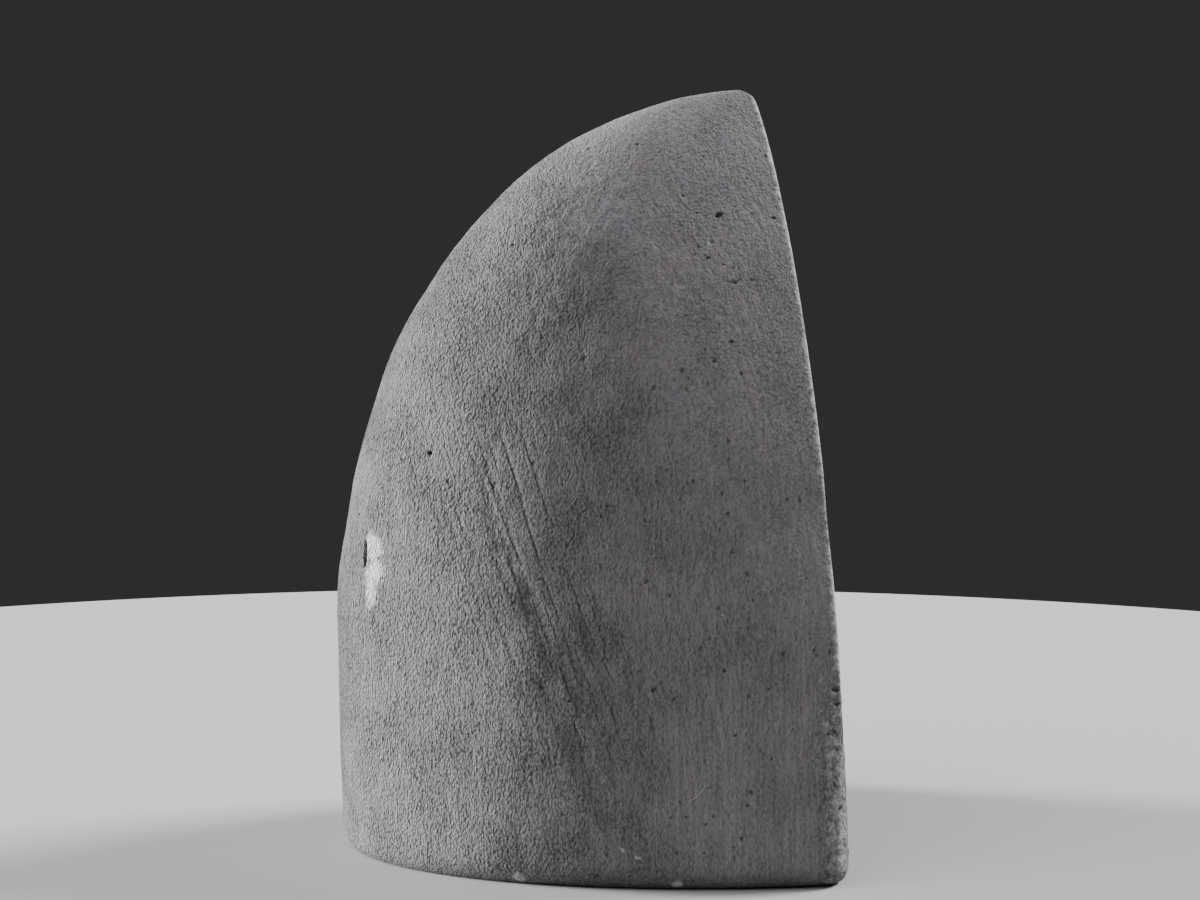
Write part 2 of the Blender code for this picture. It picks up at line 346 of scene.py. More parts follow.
def coat_plan(step, half_width, depth, corner):
    """Point of the coat's outline at one level: x, and how far behind the face."""
    edge = half_width * math.sqrt(1.0 - (corner / depth) ** 2)
    back_end = CORNER_COLUMNS + BACK_COLUMNS
    if step <= CORNER_COLUMNS or back_end <= step <= back_end + CORNER_COLUMNS:
        side = 1.0 if step <= CORNER_COLUMNS else -1.0
        turn = step if side > 0.0 else back_end + CORNER_COLUMNS - step
        angle = 0.5 * math.pi * turn / CORNER_COLUMNS
        return side * (edge - corner + corner * math.sin(angle)), corner - corner * math.cos(angle)
    if step < back_end:
        start = math.asin(corner / depth)
        angle = start + (1.0 - 2.0 * start / math.pi) * COAT_TURNS[step - CORNER_COLUMNS]
        return half_width * math.cos(angle), depth * math.sin(angle)
    across = (step - back_end - CORNER_COLUMNS) / FRONT_COLUMNS
    return (edge - corner) * (2.0 * across - 1.0), 0.0


def rounded_tip(inward, z):
    """Pull the sharp tip of the arch back onto a rounding between its top and the saw cut."""
    ahead, below = TIP_ROUND - inward, TIP_ROUND - (HEIGHT - z)
    away = math.hypot(ahead, below)
    if min(ahead, below) <= 0.0 or away <= TIP_ROUND:
        return inward, z
    part = TIP_ROUND / away
    return TIP_ROUND - part * ahead, HEIGHT - TIP_ROUND + part * below


def coat_place(step, level):
    """Place of one point of the smooth coat."""
    z = COAT_LEVELS[level]
    half_width, depth = section(COAT, z)
    inset = float(foot_inset(z))
    half_width, depth = max(half_width - inset, 1e-6), max(depth - inset, 1e-6)
    roll = ARRIS_EASE + CORNER_ROLL * float(smooth(1.0 - z / ROLL_TOP))
    x, inward = coat_plan(step, half_width, depth, min(roll, ROLL_SHARE * half_width, ROLL_SHARE * depth))
    forward = proud(z) * (1.0 - smooth(inward / FOOT_SWELL_REACH))
    inward, z = rounded_tip(inward, z)
    return (x, face_y(z) + FACE_INSET * inset + inward - forward, z)


coat = ringed_body("coat", COAT_AROUND, COAT_PASSES, coat_place)
print("coat before relief:", len(coat.data.polygons), "faces")

# %% [markdown]
# Above the sill the front is only a flat saw cut, and one large face does there. The
# small squares stay where the hand-laid sill will be.

# %% One flat face above the sill
SILL_MIDDLE = 0.0130
SILL_CORNER = 0.046
SILL_THICK = 0.0085
SILL_BITE = 0.0012
FLAT = 0.00005


def on_cut(point):
    """Whether a point lies in the saw cut, above all that was laid on by hand afterwards."""
    return point.z > ROLL_TOP and abs(point.y - face_y(point.z)) < FLAT


only(coat)
bpy.ops.object.mode_set(mode="EDIT")
bpy.ops.mesh.select_all(action="DESELECT")
bpy.ops.mesh.select_mode(type="FACE")
cage = bmesh.from_edit_mesh(coat.data)
for face in cage.faces:
    face.select_set(all(on_cut(vert.co) for vert in face.verts))
bpy.ops.mesh.delete(type="FACE")
bpy.ops.mesh.select_mode(type="EDGE")
bpy.ops.mesh.select_non_manifold(extend=False)
bpy.ops.mesh.edge_face_add()
bpy.ops.mesh.select_mode(type="VERT")
bpy.ops.object.mode_set(mode="OBJECT")
print("coat with its flat face:", len(coat.data.polygons), "faces")

# %% [markdown]
# ## Relief of the cement
#
# The relief is a sum of layers, from broad to fine: swells left by the hand, lumps,
# sand grains drawn upwards by the brush, long strokes of the trowel, small soft dents.
# Each layer is a number for every point, how far it lies in from the smooth form. They
# are added up as arrays and the points are moved once, along their normals. The layers
# only go inwards, because the solid is as large as the coat may be.

# %% Layers of noise and distances
STROKE_BOW = 0.004


def noise_layer(points, size, offset=0.0):
    """Smooth noise at every point, with lumps of about this size along X, Y and Z."""
    scaled = points / np.array(size) + offset
    return np.array([noise.noise(point) for point in scaled.tolist()])


def part_way(points, start, end):
    """How far along the line from start to end each point lies, from 0 to 1, and that line."""
    along = end - start
    return np.clip(((points - start) @ along) / (along @ along), 0.0, 1.0), along


def beside(points, start, end):
    """Distance from every point to the straight line between two places."""
    part, along = part_way(points, start, end)
    return np.linalg.norm(points - start - part[:, None] * along, axis=1)


def near_stroke(points, normals, start, end):
    """Distance along the surface from every point to a straight stroke on it."""
    part, along = part_way(points, start, end)
    offset = points - (start + part[:, None] * along)
    above = np.einsum("ij,ij->i", offset, normals)
    across = np.linalg.norm(offset - above[:, None] * normals, axis=1)
    return np.where(np.abs(above) < STROKE_BOW, across, 1.0)


def mesh_arrays(piece):
    """Places and normals of a piece's points, as two arrays."""
    count = len(piece.data.vertices)
    points, normals = np.empty(3 * count), np.empty(3 * count)
    piece.data.vertices.foreach_get("co", points)
    piece.data.vertices.foreach_get("normal", normals)
    return points.reshape(-1, 3), normals.reshape(-1, 3)


# %% Swells that the solid has too
LUMP_HEIGHT = 0.0005
LUMP_SIZE = 0.026
SWELLS = (
    ((-0.004, 0.1144, 0.071), 0.017, 0.0008),
    ((-0.065, 0.0003, 0.0925), 0.011, -0.0009),
    ((-0.053, 0.073, 0.052), 0.024, 0.0006),
    ((0.049, 0.078, 0.066), 0.022, 0.0008),
    ((0.033, 0.088, 0.120), 0.020, -0.0007),
    ((0.066, 0.034, 0.030), 0.018, 0.0006),
    ((0.002, 0.042, 0.190), 0.016, 0.0004),
    ((0.004, 0.075, 0.166), 0.012, -0.0003),
)


def behind_face(points):
    """The same points, with Y measured from the saw cut at their height."""
    moved = np.array(points, float)
    moved[..., 1] -= face_y(moved[..., 2])
    return moved


def broad_relief(where):
    """The swells and dents left by the hand. Here, where has Y measured from the saw cut."""
    lift = LUMP_HEIGHT * noise_layer(where, (LUMP_SIZE,) * 3)
    for middle, reach, height in SWELLS:
        away = np.linalg.norm(where - np.array(middle), axis=1) / reach
        lift += height * np.exp(-away * away)
    return lift


# %% Strokes and dents
STROKES = 70
STROKE_LENGTH = (0.010, 0.034)
STROKE_WIDTH = (0.0007, 0.0012)
STROKE_DEPTH = (0.00004, 0.00013)
STROKE_LEAN = (0.06, 0.34)
SCORED = (Vector((-0.0430, 0.0250, 0.0990)), Vector((-0.0640, 0.0040, 0.0400)))
SCORED_WIDTH = 0.013
SCORED_STARTS = 0.7 * SCORED_WIDTH
SCORED_STROKES = 22
SCORED_FALL = 0.0590
SCORED_SWAY = 0.03
SCORED_DEEPER = 1.8
DENTS = 24
CORNER_DENTS = 46
DENT_SIZE = (0.0008, 0.0011)
DENT_DEPTH = (0.25, 0.50)
DENT_POWER = 2.5
ROLLED_FROM = 0.35


def stroke_relief(points, normals, outer, chance):
    """Trowel strokes: long shallow grooves that lean towards the face as they fall.

    Most are faint and lie anywhere. A few deeper ones lie side by side in the scored band.
    """
    depth = np.zeros(len(points))
    top, foot = (np.array(place) for place in SCORED)
    band = np.flatnonzero(beside(points, top, foot) < SCORED_STARTS).tolist()
    for turn in range(STROKES + SCORED_STROKES):
        scored = turn >= STROKES
        start = points[chance.choice(band if scored else outer)]
        fall = np.array((0.0, -chance.uniform(*STROKE_LEAN), -1.0))
        if scored:
            sway = chance.uniform(-SCORED_SWAY, SCORED_SWAY)
            fall = (foot - top) / SCORED_FALL + np.array((sway, 0.0, 0.0))
        end = start + chance.uniform(*STROKE_LENGTH) * fall
        away = near_stroke(points, normals, start, end) / chance.uniform(*STROKE_WIDTH)
        deeper = SCORED_DEEPER if scored else 1.0
        depth += chance.uniform(*STROKE_DEPTH) * deeper * np.exp(-away * away)
    return depth


def dent_relief(points, outer, corner, chance):
    """Small soft dents, each round. The rolled corners have the most of them."""
    depth = np.zeros(len(points))
    rolled = np.flatnonzero(corner > ROLLED_FROM).tolist()
    middles = [chance.choice(outer) for _ in range(DENTS)]
    middles += [chance.choice(rolled) for _ in range(CORNER_DENTS)]
    for middle in middles:
        size = DENT_SIZE[0] + (DENT_SIZE[1] - DENT_SIZE[0]) * chance.random() ** DENT_POWER
        away = np.linalg.norm(points - points[middle], axis=1) / size
        depth = np.maximum(depth, size * chance.uniform(*DENT_DEPTH) * np.exp(-away ** 3))
    return depth


# %% All fine layers together
@dataclass
class Layer:
    """One layer of noise: the height and the size of its lumps, and where the noise is read."""
    height: float
    size: tuple
    shift: float


LUMPS = Layer(0.00013, (0.0085, 0.0085, 0.0110), 3.1)
GRAIN = Layer(0.00006, (0.0021, 0.0021, 0.0027), 7.7)
BRUSH = Layer(0.00005, (0.0022, 0.0022, 0.0220), 5.2)
SET_IN = 0.00016
BACK_FROM, BACK_REACH = 0.030, 0.060
BEHIND_CUT = 0.002
CORNER_BAND = 0.006
RUNS_MIDDLE = np.array((-0.027, 0.000, 0.160))
RUNS_REACH = 0.030
RIPPLE_MIDDLE = np.array((-0.060, 0.070, 0.030))
RIPPLE_REACH = np.array((0.03, 0.03, 0.016))
RIPPLE_PITCH = 0.0034
RIPPLE_HEIGHT = 0.00008


def ripple_relief(where):
    """Faint level ripples low on the back, where the trowel shook."""
    away = np.linalg.norm((where - RIPPLE_MIDDLE) / RIPPLE_REACH, axis=1)
    return RIPPLE_HEIGHT * np.exp(-away * away) * np.sin(math.tau * where[:, 2] / RIPPLE_PITCH)


def near_corner(where):
    """1 at the front of the foot and on its rolled corners, fading to 0 behind and above."""
    return smooth(1.6 - where[:, 1] / CORNER_BAND) * smooth(1.3 - where[:, 2] / ROLL_TOP)


def fine_relief(points, normals, where, chance):
    """Sum of the layers from lumps to dents, never above zero.

    The grain is higher at the back, on the corners and in the upright runs near the top.
    The brush lines are fainter at the back and deeper in the runs.
    """
    outer = np.flatnonzero((where[:, 1] > BEHIND_CUT) | (points[:, 2] < ROLL_TOP)).tolist()
    back = smooth((where[:, 1] - BACK_FROM) / BACK_REACH)
    corner = near_corner(where)
    lumps = LUMPS.height * noise_layer(points, LUMPS.size, LUMPS.shift)
    grain = noise_layer(points, GRAIN.size, GRAIN.shift)
    brush = noise_layer(points, BRUSH.size, BRUSH.shift)
    runs = np.exp(-(np.linalg.norm(points - RUNS_MIDDLE, axis=1) / RUNS_REACH) ** 2)
    rough = GRAIN.height * (0.7 + 0.8 * back + 2.6 * corner + 0.8 * runs)
    depth = lumps + rough * grain + BRUSH.height * (1.0 - 0.6 * back + 1.7 * runs) * brush
    depth += ripple_relief(where) - SET_IN
    strokes = stroke_relief(points, normals, outer, chance)
    depth -= strokes + dent_relief(points, outer, corner, chance)
    return np.minimum(depth, 0.0)


# %% Lay the relief on the coat
FLOOR_EASE = 0.0012
CUT_EASE = 0.0025

points, normals = mesh_arrays(coat)
where = behind_face(points)
ring_width = np.array([max(section(COAT, z)[0], FOOT_EDGE) for z in points[:, 2]])
fade = smooth(points[:, 2] / FOOT_EDGE) * smooth((HEIGHT - points[:, 2]) / FOOT_EDGE)
swell = 1.0 + fade * broad_relief(where) / ring_width
swollen = np.column_stack((where[:, 0] * swell, where[:, 1] * swell, where[:, 2]))
moves = fine_relief(points, normals, where, random.Random(5)) * smooth(points[:, 2] / FLOOR_EASE)
sawn = smooth((points[:, 2] - 0.8 * ROLL_TOP) / (0.2 * ROLL_TOP))
sawn *= 1.0 - smooth(where[:, 1] / CUT_EASE)
away = normals.copy()
away[:, 1] *= 1.0 - sawn
placed = swollen + away * moves[:, None]
placed[:, 1] += face_y(placed[:, 2])
placed = np.clip(placed, np.array(JACKET_LOW), np.array(JACKET_HIGH))
coat.data.vertices.foreach_set("co", placed.ravel())
coat.data.update()
print("deepest relief, mm:", round(-1000.0 * moves.min(), 2))

# %% [markdown]
# ## Room for the rock
#
# The coat is hollowed by the same dome a little smaller, with the sill left standing at
# its foot. The cutter runs out through the face, so the coat shows there as a thin band
# of sawn cement.

# %% Cutter of the shape of the rock
HOLLOW_WANDER = 0.045
HOLLOW_GRAIN = 0.032
RING_POWER = 1.7
CLEAR = 0.020


def dome_place(form, passes, back_columns, front_columns):
    """The place() of a plain dome: flat underneath, or closing to a point where it has a bowl."""
    rows = math.prod(passes)

    def place(step, level):
        part = 1.0 - (1.0 - level / rows) ** RING_POWER
        if form.bowl:
            part = 0.5 - 0.5 * math.cos(math.pi * level / rows)
        z = form.floor + (form.top - form.floor) * part
        half_width, depth = section(form, z)
        if step <= back_columns:
            angle = math.pi * step / back_columns
            across, inward = math.cos(angle), math.sin(angle)
            grow = 1.0
            if form.bowl:
                grow += HOLLOW_WANDER * noise.noise(Vector((across, inward, z / HOLLOW_GRAIN)))
            return (across * half_width * grow, face_y(z) + inward * depth * grow, z)
        part = (step - back_columns) / front_columns
        ends = 1.0
        if form.bowl:
            ends += HOLLOW_WANDER * noise.noise(Vector((2.0 * part - 1.0, 0.0, z / HOLLOW_GRAIN)))
        return ((2.0 * part - 1.0) * half_width * ends, face_y(z) - form.ahead, z)

    return place


def dome_body(name, form, passes, back_columns, front_columns):
    """A plain dome of a form. The columns behind and in front make up the ring."""
    around = back_columns + front_columns
    return ringed_body(name, around, passes, dome_place(form, passes, back_columns, front_columns))


def sill_top(across, spare):
    """Height of the sill, low in the middle and high at both sides."""
    return SILL_MIDDLE + (SILL_CORNER - SILL_MIDDLE) * across ** 4 + spare


def sill_block(name, form, spare, columns=48):
    """Block that fills the foot of the face up to the sill's curved top."""
    rim = []
    for step in range(columns + 1):
        across = 1.0 - 2.0 * step / columns
        z = sill_top(across, spare)
        rim.append((across * (section(form, z)[0] - SILL_BITE), z))
    side = rim[0][0] + CLEAR
    outline = [(-side, -CLEAR), (side, -CLEAR), (side, rim[0][1]), *rim, (-side, rim[-1][1])]
    mesh = bpy.data.meshes.new(name)
    front = [(x, face_y(z) - 2.0 * CLEAR, z) for x, z in outline]
    mesh.from_pydata(front, [], [tuple(range(len(front)))])
    block = bpy.data.objects.new(name, mesh)
    bpy.context.scene.collection.objects.link(block)
    only(block)
    bpy.ops.object.mode_set(mode="EDIT")
    bpy.ops.mesh.select_all(action="SELECT")
    reach = 2.0 * CLEAR + SILL_THICK + spare
    bpy.ops.mesh.extrude_region_move(TRANSFORM_OT_translate={"value": (0.0, reach, 0.0)})
    bpy.ops.object.mode_set(mode="OBJECT")
    clean_mesh(block)
    return block


seat = dome_body("seat_cutter", replace(SEAT, ahead=CLEAR), (60,), 112, 8)
cut_away(seat, sill_block("sill_block", SEAT, 0.0))
cut_away(coat, seat)
print("coat hollowed:", len(coat.data.polygons), "faces")

# %% [markdown]
# ## A slit and open pits
#
# Low on the back two strokes of the trowel did not close, and a dark slit is left. Cement
# that is pressed on by hand also keeps some air. The bubbles that the brush broke open
# are small dark pits with crisp edges. All these are finer than the squares of the coat,
# so they are cut out of it by ragged balls. The places and widths of the slit and of the
# larger pits follow the photograph, and chance gives the rest, most of them near the saw
# cut and round the two corners of the foot.

# %% Slit
SLIT_PLACE = (-0.0155, 0.1104, 0.0807)
SLIT_TURN, SLIT_LEAN = math.radians(21.0), math.radians(8.0)
SLIT_SIZE = Vector((0.0017, 0.0048, 0.0076))
SLIT_BEND = 0.22
BALL_RAGGED = 0.30


def ragged_ball(name, aim, detail, wander=0.0):
    """A rough ball, laid and stretched by a matrix. wander bends it from end to end."""
    bpy.ops.object.select_all(action="DESELECT")
    bpy.ops.mesh.primitive_ico_sphere_add(subdivisions=detail, radius=0.5)
    ball = bpy.context.object
    ball.name = name
    shake = aim.translation * 900.0
    for point in ball.data.vertices:
        bend = wander * noise.noise(Vector((0.0, 0.0, 4.5 * point.co.z)))
        ragged = 1.0 + BALL_RAGGED * noise.noise(5.0 * point.co + shake)
        point.co = aim @ Vector(((point.co.x + bend) * ragged, point.co.y * ragged, point.co.z))
    return ball


x, inward, z = SLIT_PLACE
aim = (Matrix.Translation((x, face_y(z) + inward, z)) @ Matrix.Rotation(SLIT_TURN, 4, "Z")
       @ Matrix.Rotation(SLIT_LEAN, 4, "Y") @ Matrix.Diagonal((*SLIT_SIZE, 1.0)))
cut_away(coat, ragged_ball("slit", aim, 4, wander=SLIT_BEND))
print("coat with its slit:", len(coat.data.polygons), "faces")

# %% Open pits
# Each pit seen in the photograph has its place and its width.
SEEN_PITS = ((-0.0312, -0.0355, 0.1680, 0.0023), (-0.0300, -0.0300, 0.1686, 0.0009),
             (-0.0326, -0.0497, 0.1672, 0.0014), (-0.0265, -0.0271, 0.1728, 0.0009),
             (-0.0133, -0.0180, 0.1857, 0.0010), (-0.0168, -0.0233, 0.1839, 0.0008),
             (-0.0667, -0.0102, 0.0512, 0.0016), (-0.0641, -0.0031, 0.0555, 0.0008),
             (-0.0417, -0.0371, 0.1511, 0.0010), (-0.0417, -0.0416, 0.1518, 0.0009),
             (-0.0439, -0.0237, 0.1431, 0.0009), (-0.0283, 0.0396, 0.1079, 0.0017),
             (-0.0727, -0.0557, 0.0505, 0.0022), (-0.0731, -0.0560, 0.0470, 0.0016),
             (-0.0734, -0.0561, 0.0435, 0.0026), (-0.0680, -0.0217, 0.0611, 0.0008))
# Each cloud of pits left to chance has its middle, its reach and their number.
PIT_CLOUDS = ((Vector((-0.038, -0.042, 0.158)), 0.024, 20), (Vector((-0.0725, -0.054, 0.036)), 0.028, 16),
              (Vector((0.0725, -0.052, 0.034)), 0.028, 12), (Vector((0.0, 0.0, 0.110)), 0.110, 26))
PIT_WIDTH = (0.0006, 0.0013)
PIT_WIDE = 0.0015
PIT_SHAPE = Vector((1.0, 0.7, 0.9))
PIT_TURN = 0.5
PIT_APART = 0.9
FROM_SAW_CUT = 0.0012
FROM_FLOOR = 0.004


def pit_places(surface, chance):
    """Places, outward directions and widths of all pits, none touching another."""
    wanted = [(Vector(pit[:3]), pit[3]) for pit in SEEN_PITS]
    for middle, reach, count in PIT_CLOUDS:
        for _ in range(count):
            away = Vector([chance.uniform(-1.0, 1.0) for _ in range(3)]) * reach
            wanted.append((middle + away, chance.uniform(*PIT_WIDTH)))
    kept = []
    for goal, width in wanted:
        place, outward, _, _ = surface.find_nearest(goal)
        sawn = place.z > 0.7 * ROLL_TOP and place.y - face_y(place.z) < FROM_SAW_CUT
        crowded = any((place - other).length < PIT_APART * (width + wide) for other, _, wide in kept)
        if not sawn and not crowded and place.z > FROM_FLOOR:
            kept.append((place, outward, width))
    return kept


chance = random.Random(41)
surface = BVHTree.FromObject(coat, bpy.context.evaluated_depsgraph_get())
balls = []
for place, outward, width in pit_places(surface, chance):
    spin = Matrix.Rotation(chance.uniform(-PIT_TURN, PIT_TURN), 4, "Z")
    turn = outward.to_track_quat("Z", "Y").to_matrix().to_4x4() @ spin
    aim = Matrix.Translation(place) @ turn @ Matrix.Diagonal((*(width * PIT_SHAPE), 1.0))
    balls.append(ragged_ball("pit", aim, 3 if width > PIT_WIDE else 2))
bpy.ops.object.select_all(action="DESELECT")
for ball in balls:
    ball.select_set(True)
bpy.context.view_layer.objects.active = balls[0]
bpy.ops.object.join()
cut_away(coat, balls[0])
print("coat with", len(balls), "pits:", len(coat.data.polygons), "faces")

# %% [markdown]
# ## Wear on the coat
#
# The cement is pale where it was rubbed or chipped: beside the slit and at the foot. The pale line along the
# saw cut is painted highlight, partly chipped edge, and the pale on the rolled corners is painted light. It
# is also rougher at the back than on the brushed sides, and scored in one band. Numbers kept at the points
# of the mesh say where, and the material reads them. That way the wear and the painted light lie on the
# shape, however it is seen.

# %% Where the coat is pale, rough and scored
SCUFF = ((-0.0180, 0.0538, 0.0825, 0.0044, 0.0046), (-0.0200, 0.0532, 0.0765, 0.0042, 0.0044),
         (-0.0195, 0.0536, 0.0710, 0.0028, 0.0050))
CHIPS = ((-0.0530, 0.0216, 0.0018, 0.0016), (-0.0682, -0.0159, 0.0016, 0.0015),
         (-0.0661, -0.0024, 0.0104, 0.0006), (-0.0673, -0.0062, 0.0085, 0.0006))
# The saw-cut edge is painted pale as a highlight, partly chipped edge, and the rolled corners are painted
# pale as light falling on them.
CHIP_PALE, EDGE_HIGHLIGHT_AND_CHIPS, CORNER_PAINTED_LIGHT = 1.6, 0.9, 0.60
EDGE_REACH = 0.0012
SIDE_CORNER_FROM, SIDE_CORNER_REACH = 0.058, 0.010
BRUSHED_ROUGH, BACK_ROUGHER, SILL_ROUGHER = 0.26, 0.74, 0.16
ROUGH_FROM, ROUGH_REACH = 0.035, 0.050
FAINT_SCORE = 0.12


def add_values(piece, name, values):
    """Keep one number for every point of a piece, for its material to read."""
    layer = piece.data.attributes.new(name, "FLOAT", "POINT")
    layer.data.foreach_set("value", np.asarray(values, dtype=np.float32))


points, _ = mesh_arrays(coat)
where = behind_face(points)
pale_wear_and_light = np.zeros(len(points))
for x, y, z, across, tall in SCUFF:
    away = np.linalg.norm((points - np.array((x, y, z))) / np.array((across, 2.0 * across, tall)), axis=1)
    pale_wear_and_light = np.maximum(pale_wear_and_light, np.exp(-away ** 3))
for x, y, z, reach in CHIPS:
    away = np.linalg.norm(points - np.array((x, y, z)), axis=1) / reach
    pale_wear_and_light = np.maximum(pale_wear_and_light, CHIP_PALE * np.exp(-away ** 2))
half_widths = np.array([section(COAT, z)[0] for z in points[:, 2]])
from_edge = np.hypot(where[:, 1], 0.6 * (half_widths - np.abs(points[:, 0])))
edge = np.exp(-(from_edge / EDGE_REACH) ** 2) * smooth(2.0 * points[:, 2] / ROLL_TOP - 1.0)
back = smooth((where[:, 1] - ROUGH_FROM) / ROUGH_REACH)
corner = near_corner(where)
side_corner = corner * smooth((np.abs(points[:, 0]) - SIDE_CORNER_FROM) / SIDE_CORNER_REACH)
scored = beside(points, *(np.array(place) for place in SCORED)) / SCORED_WIDTH
# Pale along the saw cut is painted highlight, partly chipped cement; pale on the rolled side corners is
# painted light.
pale_wear_and_light = np.maximum(pale_wear_and_light, EDGE_HIGHLIGHT_AND_CHIPS * edge)
add_values(coat, "pale_wear_and_light", np.maximum(pale_wear_and_light, CORNER_PAINTED_LIGHT * side_corner))
rough = BRUSHED_ROUGH + BACK_ROUGHER * np.maximum(back, side_corner)
add_values(coat, "rough", rough + SILL_ROUGHER * (corner - side_corner))
add_values(coat, "scored", FAINT_SCORE + (1.0 - FAINT_SCORE) * np.exp(-scored ** 2))
print("pale points:", int(np.count_nonzero(pale_wear_and_light > 0.5)), "of", len(points))

# %% Hand the coat over to the frame
coat.data.shade_smooth()
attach(coat, "root")
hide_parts("cement_jacket")

# %% [markdown]
# ## Cement
#
# Plain mortar darkened with pigment: nearly neutral grey, a little warmer in some places
# and a little bluer in others. Sand stands out of it, and brushing left fine upright lines.
# All of this is finer than the mesh, so noise in the material makes it, once as colour and once as bump. The
# colour of the sand carries painted shade between the grains and painted highlight on their tops, and the
# pores are painted dark as shade. Where the coat is worn, and as painted light along the saw cut and on the
# rolled corners, a pale grey with a ragged edge covers the rest.

# %% Small kit for materials
def new_material(name):
    """A material with its shader, and a helper that adds a node with its values set."""
    material = bpy.data.materials.new(name)
    material.use_nodes = True
    return material, material.node_tree, material.node_tree.nodes["Principled BSDF"]


def add_node(tree, kind, inputs=None, **values):
    """Add a node. inputs gives each socket a number, a colour or another node's output."""
    node = tree.nodes.new(kind)
    for key, value in values.items():
        setattr(node, key, value)
    for key, value in (inputs or {}).items():
        if isinstance(value, bpy.types.NodeSocket):
            tree.links.new(value, node.inputs[key])
        else:
            node.inputs[key].default_value = value
    return node


def noise_node(tree, place, scale, detail=2.0, roughness=0.5):
    """Noise on a place vector."""
    inputs = {"Vector": place, "Scale": scale, "Detail": detail, "Roughness": roughness}
    return add_node(tree, "ShaderNodeTexNoise", inputs).outputs["Fac"]


def stretched(tree, place, scale):
    """The same place vector, stretched along each axis."""
    node = add_node(tree, "ShaderNodeMapping", {"Vector": place, "Scale": scale})
    return node.outputs["Vector"]


def maths(tree, operation, first, second=0.0, clamp=False):
    """One step of arithmetic."""
    node = add_node(tree, "ShaderNodeMath", {0: first, 1: second}, operation=operation, use_clamp=clamp)
    return node.outputs["Value"]


def mixed(tree, factor, first, second, blend_type="MIX"):
    """Mix of two colours."""
    node = add_node(tree, "ShaderNodeMix", data_type="RGBA", blend_type=blend_type)
    for key, value in (("Factor_Float", factor), ("A_Color", first), ("B_Color", second)):
        socket = next(item for item in node.inputs if item.identifier == key)
        if isinstance(value, bpy.types.NodeSocket):
            tree.links.new(value, socket)
        else:
            socket.default_value = value
    return next(item for item in node.outputs if item.identifier == "Result_Color")


def ramp(tree, factor, *stops):
    """Colour ramp through stops of position and colour."""
    node = add_node(tree, "ShaderNodeValToRGB", {"Fac": factor})
    elements = node.color_ramp.elements
    while len(elements) < len(stops):
        elements.new(1.0)
    for element, (position, colour) in zip(elements, stops):
        element.position = position
        element.color = (*colour, 1.0) if len(colour) == 3 else (colour[0],) * 3 + (1.0,)
    return node.outputs["Color"]


def spots(tree, place, scale, share, size):
    """Round spots in a share of the cells of a Voronoi pattern: 1 in the middle, 0 outside."""
    cells = add_node(tree, "ShaderNodeTexVoronoi", {"Vector": place, "Scale": scale})
    chance = add_node(tree, "ShaderNodeSeparateColor", {"Color": cells.outputs["Color"]})
    present = maths(tree, "LESS_THAN", chance.outputs["Red"], share)
    radius = maths(tree, "MULTIPLY", maths(tree, "ADD", chance.outputs["Green"], 0.6), size)
    inside = maths(tree, "DIVIDE", cells.outputs["Distance"], radius)
    return maths(tree, "MULTIPLY", maths(tree, "SUBTRACT", 1.0, inside, clamp=True), present)


def stored_value(tree, name):
    """A number kept at the points of the piece."""
    return add_node(tree, "ShaderNodeAttribute", attribute_name=name).outputs["Fac"]


# %% Grey of the cement, its sand and its brush lines
WARM_GREY = (0.155, 0.144, 0.148, 1.0)
COOL_GREY = (0.145, 0.140, 0.150, 1.0)
WHITE = (1.0, 1.0, 1.0, 1.0)
SAND_SCALE, GRAIN_SCALE, BRUSH_SCALE = 1250.0, 1600.0, 1000.0


def toned(tree, colour, tone):
    """A colour made lighter or darker by a tone."""
    return mixed(tree, 1.0, colour, tone, "MULTIPLY")


cement, tree, shader = new_material("cement")
place = add_node(tree, "ShaderNodeTexCoord").outputs["Object"]
tint = ramp(tree, noise_node(tree, place, 70.0, 5.0, 0.7), (0.40, (0.0,)), (0.60, (1.0,)))
colour = mixed(tree, tint, WARM_GREY, COOL_GREY)
blotches = ramp(tree, noise_node(tree, place, 150.0, 4.0, 0.65), (0.25, (0.86,)), (0.75, (1.13,)))
colour = toned(tree, colour, blotches)
upright = stretched(tree, place, (1.0, 1.0, 0.65))
fine = noise_node(tree, upright, SAND_SCALE, 4.0, 0.68)
grains = add_node(tree, "ShaderNodeTexVoronoi", {"Vector": upright, "Scale": GRAIN_SCALE})
sand = maths(tree, "SUBTRACT", maths(tree, "MULTIPLY", fine, 1.2),
             maths(tree, "MULTIPLY", grains.outputs["Distance"], 0.65))
open_sand = ramp(tree, noise_node(tree, place, 75.0, 4.0, 0.6), (0.43, (0.45,)), (0.60, (1.10,)))
rough = maths(tree, "MULTIPLY", stored_value(tree, "rough"), open_sand)
# The sand's colour paints shade in the hollows between grains and highlight on their tops, more strongly
# where the coat is rougher.
sand_shade_and_highlight = ramp(tree, sand, (0.00, (0.25,)), (0.20, (0.80,)), (0.34, (1.08,)), (0.55, (1.50,)))
sand_part = maths(tree, "ADD", maths(tree, "MULTIPLY", rough, 0.75), 0.22)
colour = toned(tree, colour, mixed(tree, sand_part, WHITE, sand_shade_and_highlight))
brushed = noise_node(tree, stretched(tree, place, (1.0, 1.0, 0.05)), BRUSH_SCALE, 2.0, 0.5)
colour = toned(tree, colour, ramp(tree, brushed, (0.30, (0.84,)), (0.70, (1.16,))))

# %% Painted shade in the pores, flecks, and pale worn and lit places
PORE_SHADE_AND_DIRT_COLOUR = (0.034, 0.033, 0.034, 1.0)
FLECK_COLOUR = (0.36, 0.35, 0.34, 1.0)
WORN_AND_LIT_COLOUR = (0.54, 0.53, 0.53, 1.0)
RAGGED_REACH = (0.0009, 0.0009, 0.0009)
PALE_FROM = 1.12

